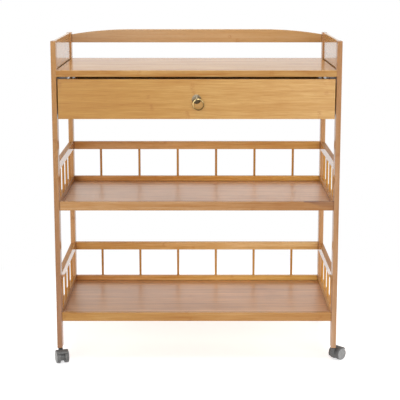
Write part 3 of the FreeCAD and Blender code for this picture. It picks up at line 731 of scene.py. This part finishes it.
def rosette_eye(at):
    """A thick ring that stands out of the rosette's dome, with its bore along X."""
    bm = bmesh.new()
    start = bmesh.ops.create_circle(bm, segments=EYE_STEPS, radius=EYE_INNER,
                                    matrix=Matrix.Translation((0, 0, -EYE_HALF)))
    loop = edges_at(start["verts"])
    for radius, height in ((EYE_OUTER, -EYE_HALF), (EYE_OUTER, EYE_HALF), (EYE_INNER, EYE_HALF)):
        made = bmesh.ops.extrude_edge_only(bm, edges=loop)["geom"]
        loop = open_edges(of_kind(made, bmesh.types.BMEdge))
        for vert in {vert for edge in loop for vert in edge.verts}:
            vert.co = vert.co.xy.normalized().to_3d() * radius + Vector((0, 0, height))
    bmesh.ops.bridge_loops(bm, edges=open_edges(bm.edges))
    bmesh.ops.recalc_face_normals(bm, faces=bm.faces)
    soften(bm, sharp_edges(bm), EYE_SOFTNESS, segments=3)
    move(bm, turn_from_z((1, 0, 0), at))
    return bm


def wheel_span(node, axle, axis):
    """Where a wheel starts and ends along its axle, and its radius."""
    along, across = [], []
    for vert in NODES[node].data.vertices:
        arm = vert.co - axle
        out = arm.dot(axis)
        along.append(out)
        across.append((arm - axis * out).length)
    return min(along), max(along), max(across)


def wheel_profile(radius, width):
    """The bore, the tread with its groove, the rounded rim, and the disc with its hub."""
    return [
        (0, 0.75 * width), (AXLE_BORE, 0.75 * width), (AXLE_BORE, 0),
        (radius - 0.6 * MM, 0), (radius, 0.6 * MM),
        (radius, 0.44 * width), (radius - 0.35 * MM, 0.46 * width),
        (radius - 0.35 * MM, 0.50 * width), (radius, 0.52 * width),
        (radius, width - 2.6 * MM), (radius - 0.8 * MM, width - 0.8 * MM),
        (radius - 2.6 * MM, width), (radius - 4.3 * MM, width),
        (radius - 4.6 * MM, width - 0.4 * MM), (radius - 5.0 * MM, width - 0.4 * MM),
        (radius - 5.3 * MM, width - 0.15 * MM), (0.42 * radius, width - 0.65 * MM),
        (0.34 * radius, width - 0.65 * MM), (0.30 * radius, width - 0.10 * MM),
        (0.16 * radius, width), (0, width),
    ]


def bolt_centres():
    """The middle of each bolt head's outer face, with the direction that it faces."""
    rims = []
    low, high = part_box("frame_bolts")
    for vert in NODES["frame_bolts"].data.vertices:
        for limit in (low.x, high.x):
            if abs(vert.co.x - limit) < HEAD_PLANE:
                near = [rim for rim in rims if (rim[0] - vert.co).length < HEAD_REACH]
                if near:
                    near[0].append(vert.co.copy())
                else:
                    rims.append([vert.co.copy()])
    centres = []
    for rim in rims:
        middle = [(min(p[i] for p in rim) + max(p[i] for p in rim)) / 2 for i in (X, Y, Z)]
        centres.append((Vector(middle), Vector((math.copysign(1.0, middle[X]), 0, 0))))
    return centres


def bolt(place, key_width, key_depth):
    """A connector bolt with a hexagon socket in its flat head, and its shank."""
    bm = bmesh.new()
    rim = edges_at(bmesh.ops.create_circle(bm, segments=BOLT_STEPS, radius=BOLT_HEAD)["verts"])
    key = edges_at(bmesh.ops.create_circle(
        bm, segments=HEXAGON, radius=key_width / math.sqrt(3))["verts"])
    cut = bmesh.ops.subdivide_edges(bm, edges=key, cuts=BOLT_STEPS // HEXAGON - 1)
    key = list(dict.fromkeys(of_kind(cut["geom"], bmesh.types.BMEdge)))
    bmesh.ops.bridge_loops(bm, edges=rim + key)

    def extend(edges, down, scale=1.0):
        """Draws a loop of edges downwards and returns the open loop at its end."""
        made = bmesh.ops.extrude_edge_only(bm, edges=edges)["geom"]
        verts = of_kind(made, bmesh.types.BMVert)
        bmesh.ops.translate(bm, verts=verts, vec=(0, 0, -down))
        bmesh.ops.scale(bm, verts=verts, vec=(scale, scale, 1.0))
        return open_edges(of_kind(made, bmesh.types.BMEdge))

    bmesh.ops.edgeloop_fill(bm, edges=extend(key, key_depth))
    wall = extend(rim, BOLT_HEAD_DEPTH)
    neck = extend(wall, 0.0, BOLT_SHANK / BOLT_HEAD)
    bmesh.ops.edgeloop_fill(bm, edges=extend(neck, BOLT_LENGTH - BOLT_HEAD_DEPTH))
    soften(bm, rim, BOLT_SOFTNESS, segments=3)
    bmesh.ops.recalc_face_normals(bm, faces=bm.faces)
    move(bm, place)
    return bm


class TROLLEY_OT_legs(bpy.types.Operator):
    """Dress the four legs in upright strip"""

    bl_idname = "trolley.legs"
    bl_label = "Legs"

    def execute(self, context):
        look = context.scene.trolley_bamboo
        for node in [f"leg_{corner}" for corner in CORNERS]:
            dress([node], bamboo(f"bamboo_{node}", look.leg, Z, Y, look.rail_coat,
                                 tones_and_light=end_tones_and_light(node, Z)))
        return {"FINISHED"}


class TROLLEY_OT_rails(bpy.types.Operator):
    """Dress the rails that run across and those that run from front to back"""

    bl_idname = "trolley.rails"
    bl_label = "Rails"

    def execute(self, context):
        look = context.scene.trolley_bamboo
        shelf_tops = {tray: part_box(f"{tray}_shelf_panel")[1].z for tray in TRAYS}
        for node in CROSS_RAILS:
            low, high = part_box(node)
            # Painted shade at both ends of a cross rail, darker at the left, with a dark glue line
            # against the leg
            joints = [joint(X, low.x, 1, look.joint_shade),
                      joint(X, high.x, -1, look.joint_shade, RIGHT_END_SHADE_SHARE)]
            if node.endswith("lower_rail"):
                tray = node.split("_")[0]
                # Painted shade on a lower rail's inner face just over the shelf, and a wider
                # painted shade in its left corner
                joints += [joint(Z, shelf_tops[tray], 1, look.joint_shade, faces=(Y, -1)),
                           joint(X, low.x, 1, look.corner_shade, CORNER_SHADE_SHARES[tray], (Y, -1))]
            dress([node], bamboo(
                f"bamboo_{node}", look.rail, X, Z, look.rail_coat,
                contrast=BACK_RAIL_CONTRAST if node == "back_rail" else RAIL_CONTRAST,
                tones_and_light=end_tones_and_light(node, X), joints=joints,
                wedge_top=high.z if node == "mid_front_rail" else None))
        for tray in TRAYS:
            # Each lower side rail has a material of its own: painted light makes the right ones
            # paler, and painted shade darkens each inner face over and beside the shelf, more at
            # the left
            for hand, inner, way in (("left", 1, -1), ("right", 0, 1)):
                node = f"{tray}_side_lower_rail_{hand}"
                joints = [joint(Z, shelf_tops[tray], 1, look.joint_shade, faces=(X, -way)),
                          joint(X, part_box(node)[inner].x, way, look.joint_shade,
                                SIDE_RAIL_SHADE_SHARES[hand])]
                dress([node], bamboo(f"bamboo_{node}", look.side_rail, Y, Z, look.inner_coat,
                                     tones_and_light=end_tones_and_light(node, Y), joints=joints))
        dress([f"{tray}_side_upper_rail_{hand}" for tray in TRAYS for hand in SIDES],
              bamboo("bamboo_side_upper_rail", look.side_rail, Y, Z, coat_ior=BRIGHT_COAT_IOR,
                     level_coat=look.level_coat))
        return {"FINISHED"}


class TROLLEY_OT_boards(bpy.types.Operator):
    """Dress the top board, the side panels and the shelf panels"""

    bl_idname = "trolley.boards"
    bl_label = "Boards and panels"

    def execute(self, context):
        look = context.scene.trolley_bamboo
        dress(["top_board"], bamboo("bamboo_top_board", look.board, X, Y, look.top_coat,
                                    contrast=TOP_CONTRAST))
        dress([f"side_panel_{hand}" for hand in SIDES],
              bamboo("bamboo_side_panel", look.board, Y, Z))
        for node in [f"{tray}_shelf_panel" for tray in TRAYS]:
            low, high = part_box(node)
            # Painted shade along the shelf's left and right edges, darker at the left
            joints = [joint(X, low.x, 1, look.shelf_shade, SHELF_SHADE_SHARES["left"]),
                      joint(X, high.x, -1, look.shelf_shade, SHELF_SHADE_SHARES["right"])]
            dress([node], bamboo(
                f"bamboo_{node}", look.shelf, X, Y, satin=True, contrast=SHELF_CONTRAST,
                coat_ior=BRIGHT_COAT_IOR, streaks=REDDISH, tones_and_light=end_tones_and_light(node, X), joints=joints))
        return {"FINISHED"}


class TROLLEY_OT_spindles(bpy.types.Operator):
    """Dress the turned spindles of the galleries and the dowels in the rails"""

    bl_idname = "trolley.spindles"
    bl_label = "Spindles"

    def execute(self, context):
        look = context.scene.trolley_bamboo
        for node in [f"{tray}_{kind}_spindles" for tray in TRAYS for kind in ("back", "side")]:
            dress([node], bamboo(f"bamboo_{node}", look.spindle, Z, X, look.rail_coat,
                                 tones_and_light=end_tones_and_light(node, X)))
        dress(["rail_dowels"], bamboo("bamboo_dowel", look.spindle, Y, Z))
        return {"FINISHED"}


class TROLLEY_OT_drawer(bpy.types.Operator):
    """Dress the drawer front, its plywood box and the runners"""

    bl_idname = "trolley.drawer"
    bl_label = "Drawer"

    def execute(self, context):
        look = context.scene.trolley_bamboo
        dress(["drawer_front"], bamboo(
            "bamboo_drawer_front", look.drawer, X, Z, satin=True, contrast=DRAWER_CONTRAST,
            fineness=DRAWER_FINENESS, streaks=HONEY, tones_and_light=end_tones_and_light("drawer_front", X)))
        dress([f"drawer_side_{hand}" for hand in SIDES],
              bamboo("ply_drawer_side", look.ply, Y, Z, look.box_coat))
        dress(["drawer_back"], bamboo("ply_drawer_back", look.ply, X, Z, look.box_coat))
        dress(["drawer_bottom"], bamboo("ply_drawer_bottom", look.ply, X, Y, look.box_coat))
        dress([f"drawer_runner_{hand}" for hand in SIDES],
              bamboo("bamboo_runner", look.rail, Y, Z, look.box_coat))
        return {"FINISHED"}


class TROLLEY_OT_ring_pull(bpy.types.Operator):
    """Turn the stepped rosette with its eye and the ring that hangs in it"""

    bl_idname = "trolley.ring_pull"
    bl_label = "Ring pull"

    def execute(self, context):
        look = context.scene.trolley_metal
        front = (0, -1, 0)

        # Rosette, turned, with the eye that the ring swings in
        low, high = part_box("pull_rosette")
        radius = (high.x - low.x) / 2
        middle = (low + high) / 2
        bm = turned(rosette_profile(radius), ROSETTE_STEPS, ROSETTE_SOFTNESS)
        move(bm, turn_from_z(front, (middle.x, high.y, middle.z)))
        merge(bm, rosette_eye(Vector(JOINTS["ring_swing"]["pos_m"])))
        metal = antique_metal("antique_rosette", look.rosette, middle, radius)
        add_piece("pull_rosette_turned", bm, [metal], "drawer", ["pull_rosette"])

        # Ring, a round wire bent to a circle
        low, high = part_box("pull_ring")
        wire = (high.y - low.y) / 2
        radius = (high.x - low.x) / 2 - wire
        middle = (low + high) / 2
        bm = bmesh.new()
        upright = Matrix.Translation((radius, 0, 0)) @ Matrix.Rotation(math.pi / 2, 4, "X")
        section = bmesh.ops.create_circle(
            bm, segments=WIRE_STEPS, radius=wire, matrix=upright)["verts"]
        spin_round(bm, section + edges_at(section), RING_STEPS)
        move(bm, turn_from_z(front, middle))
        metal = antique_metal("antique_ring", look.ring, middle, radius)
        add_piece("pull_ring_wire", bm, [metal], "ring", ["pull_ring"])
        return {"FINISHED"}


class TROLLEY_OT_casters(bpy.types.Operator):
    """Turn the wheels with their rims and discs, and dress the hoods"""

    bl_idname = "trolley.casters"
    bl_label = "Casters"

    def execute(self, context):
        look = context.scene.trolley_caster
        dress([f"caster_{corner}_housing" for corner in CORNERS],
              moulded_plastic("hood_plastic", look.hood))
        rim = moulded_plastic("wheel_plastic", look.wheel)
        disc = moulded_plastic("wheel_disc_plastic", look.disc)
        for node in WHEELS:
            spin = JOINTS[f"{node}_spin"]
            axle, axis = Vector(spin["pos_m"]), Vector(spin["axis"])
            start, end, radius = wheel_span(node, axle, axis)
            if abs(start) > abs(end):
                axis, start, end = -axis, -end, -start
            width = end - start
            bm = turned(wheel_profile(radius, width), WHEEL_STEPS, WHEEL_SOFTNESS)
            for face in bm.faces:
                face.material_index = int(face.calc_center_median().z > width - DISC_DEPTH)
            move(bm, turn_from_z(axis, axle + axis * start))
            add_piece(f"{node}_turned", bm, [rim, disc], node, [node])
        return {"FINISHED"}


class TROLLEY_OT_fasteners(bpy.types.Operator):
    """Make the socket head bolts and dress the other screws, pins and bushes"""

    bl_idname = "trolley.fasteners"
    bl_label = "Bolts and pins"

    def execute(self, context):
        look = context.scene.trolley_metal
        steel = plated_metal("zinc_steel", look.steel)
        bm = bmesh.new()
        for centre, out in bolt_centres():
            merge(bm, bolt(turn_from_z(out, centre), look.key_width, look.key_depth))
        add_piece("frame_bolts_socket", bm, [steel], "frame", ["frame_bolts"])
        dress(["runner_screws", "drawer_screws", "pull_screw"], steel)
        dress(["caster_stems"], plated_metal("black_steel", look.black_steel))
        dress([f"caster_{corner}_axle" for corner in CORNERS], steel)
        dress(["caster_sockets"], plated_metal("bush_brass", look.brass))
        return {"FINISHED"}


# Stage

def seen(tree):
    """1 for a ray that shows the stage to the camera, straight or by a mirror or glass."""
    path = tree.nodes.new("ShaderNodeLightPath").outputs
    total = path["Is Camera Ray"]
    for name in ("Is Glossy Ray", "Is Transmission Ray"):
        both = tree.nodes.new("ShaderNodeMath")
        both.operation = "MAXIMUM"
        tree.links.new(total, both.inputs[0])
        tree.links.new(path[name], both.inputs[1])
        total = both.outputs[0]
    return total


def white_sky(strength):
    """An even white all round, full white where it is seen and weaker where it lights."""
    world = bpy.data.worlds.new("white_sky")
    bpy.context.scene.world = world
    world.use_nodes = True
    tree = world.node_tree
    back = tree.nodes["Background"]
    back.inputs["Color"].default_value = (1, 1, 1, 1)
    level = tree.nodes.new("ShaderNodeMapRange")
    level.inputs["To Min"].default_value = strength
    level.inputs["To Max"].default_value = 1.0
    tree.links.new(seen(tree), level.inputs["Value"])
    tree.links.new(level.outputs["Result"], back.inputs["Strength"])


def white_floor(colour):
    """A white floor that keeps the trolley's shadow and fades into the white around it."""
    bench = Bench("white_floor")
    sight = seen(bench.tree)
    spot = bench.split(bench.spot)
    away = bench.math("SQRT", bench.math("ADD", bench.math("MULTIPLY", spot[X], spot[X]),
                                         bench.math("MULTIPLY", spot[Y], spot[Y])))
    fade = bench.ease(away, *FLOOR_FADE)
    speck = bench.noise(bench.spot, scale=3.0)
    paint = bench.ramp(speck, shade(colour, grey(0.99)), shade(colour, grey(1.01)))
    lit = bench.finish(
        Base_Color=paint, Roughness=0.9, Specular_IOR_Level=0.0, Emission_Color=(1, 1, 1, 1),
        Emission_Strength=bench.math("MULTIPLY", sight, FLOOR_GLOW))
    glow = bench.add("ShaderNodeEmission", {"Strength": 1.0})
    both = bench.add("ShaderNodeMixShader", {
        0: bench.math("MULTIPLY", sight, fade), 1: bench.shader.outputs[0], 2: glow.outputs[0]})
    bench.feed(bench.tree.nodes["Material Output"].inputs["Surface"], both.outputs[0])
    return lit


def soft_lamp(name, power, size, place, in_gloss):
    """A round lamp that points at the middle of the trolley."""
    lamp = bpy.data.lights.new(name, "AREA")
    lamp.shape = "DISK"
    lamp.energy = power
    lamp.size = size
    made = bpy.data.objects.new(name, lamp)
    made.location = place
    made.rotation_euler = (LAMP_TARGET - Vector(place)).to_track_quat("-Z", "Y").to_euler()
    made.visible_glossy = in_gloss
    bpy.context.scene.collection.objects.link(made)


class TROLLEY_OT_stage(bpy.types.Operator):
    """Lay the floor, set the lamps and stand the camera at the photograph's place"""

    bl_idname = "trolley.stage"
    bl_label = "Stage"

    def execute(self, context):
        look = context.scene.trolley_stage
        context.scene.view_settings.view_transform = "Standard"
        bm = bmesh.new()
        bmesh.ops.create_grid(bm, x_segments=FLOOR_CELLS, y_segments=FLOOR_CELLS, size=FLOOR_SIZE)
        mesh = bpy.data.meshes.new("floor")
        bm.to_mesh(mesh)
        bm.free()
        mesh.materials.append(white_floor(look.floor))
        floor = bpy.data.objects.new("floor", mesh)
        context.scene.collection.objects.link(floor)
        white_sky(look.sky)
        for name, power, size, place, in_gloss in LAMPS:
            soft_lamp(name, getattr(look, power), size, place, in_gloss)

        lens = bpy.data.cameras.new("camera")
        lens.sensor_width = SENSOR_WIDTH
        lens.lens = look.camera_focus * SENSOR_WIDTH / IMAGE_WIDTH
        lens.shift_y = look.camera_shift
        camera = bpy.data.objects.new("camera", lens)
        camera.location = look.camera_place
        camera.rotation_euler = (math.pi / 2 - look.camera_tilt, 0, 0)
        context.scene.collection.objects.link(camera)
        context.scene.camera = camera
        return {"FINISHED"}


OPERATORS = (
    TROLLEY_OT_stage,
    TROLLEY_OT_legs,
    TROLLEY_OT_rails,
    TROLLEY_OT_boards,
    TROLLEY_OT_spindles,
    TROLLEY_OT_drawer,
    TROLLEY_OT_ring_pull,
    TROLLEY_OT_casters,
    TROLLEY_OT_fasteners,
)
SETTINGS = {
    "trolley_bamboo": TrolleyBamboo,
    "trolley_metal": TrolleyMetal,
    "trolley_caster": TrolleyCaster,
    "trolley_stage": TrolleyStage,
}


class TROLLEY_PT_trolley(bpy.types.Panel):
    """The trolley's settings and the steps that make it"""

    bl_idname = "TROLLEY_PT_trolley"
    bl_label = "Trolley"
    bl_space_type = "VIEW_3D"
    bl_region_type = "UI"
    bl_category = "Trolley"

    def draw(self, context):
        for name, group in SETTINGS.items():
            column = self.layout.box().column()
            for key in group.__annotations__:
                column.prop(getattr(context.scene, name), key)
        for operator in OPERATORS:
            self.layout.operator(operator.bl_idname)


def register():
    for group in SETTINGS.values():
        bpy.utils.register_class(group)
    for name, group in SETTINGS.items():
        setattr(bpy.types.Scene, name, bpy.props.PointerProperty(type=group))
    for operator in OPERATORS:
        bpy.utils.register_class(operator)
    bpy.utils.register_class(TROLLEY_PT_trolley)


def unregister():
    bpy.utils.unregister_class(TROLLEY_PT_trolley)
    for operator in reversed(OPERATORS):
        bpy.utils.unregister_class(operator)
    for name in SETTINGS:
        delattr(bpy.types.Scene, name)
    for group in SETTINGS.values():
        bpy.utils.unregister_class(group)


def main():
    register()
    bpy.ops.trolley.stage()
    bpy.ops.trolley.legs()
    bpy.ops.trolley.rails()
    bpy.ops.trolley.boards()
    bpy.ops.trolley.spindles()
    bpy.ops.trolley.drawer()
    bpy.ops.trolley.ring_pull()
    bpy.ops.trolley.casters()
    bpy.ops.trolley.fasteners()


if __name__ == "__main__":
    main()
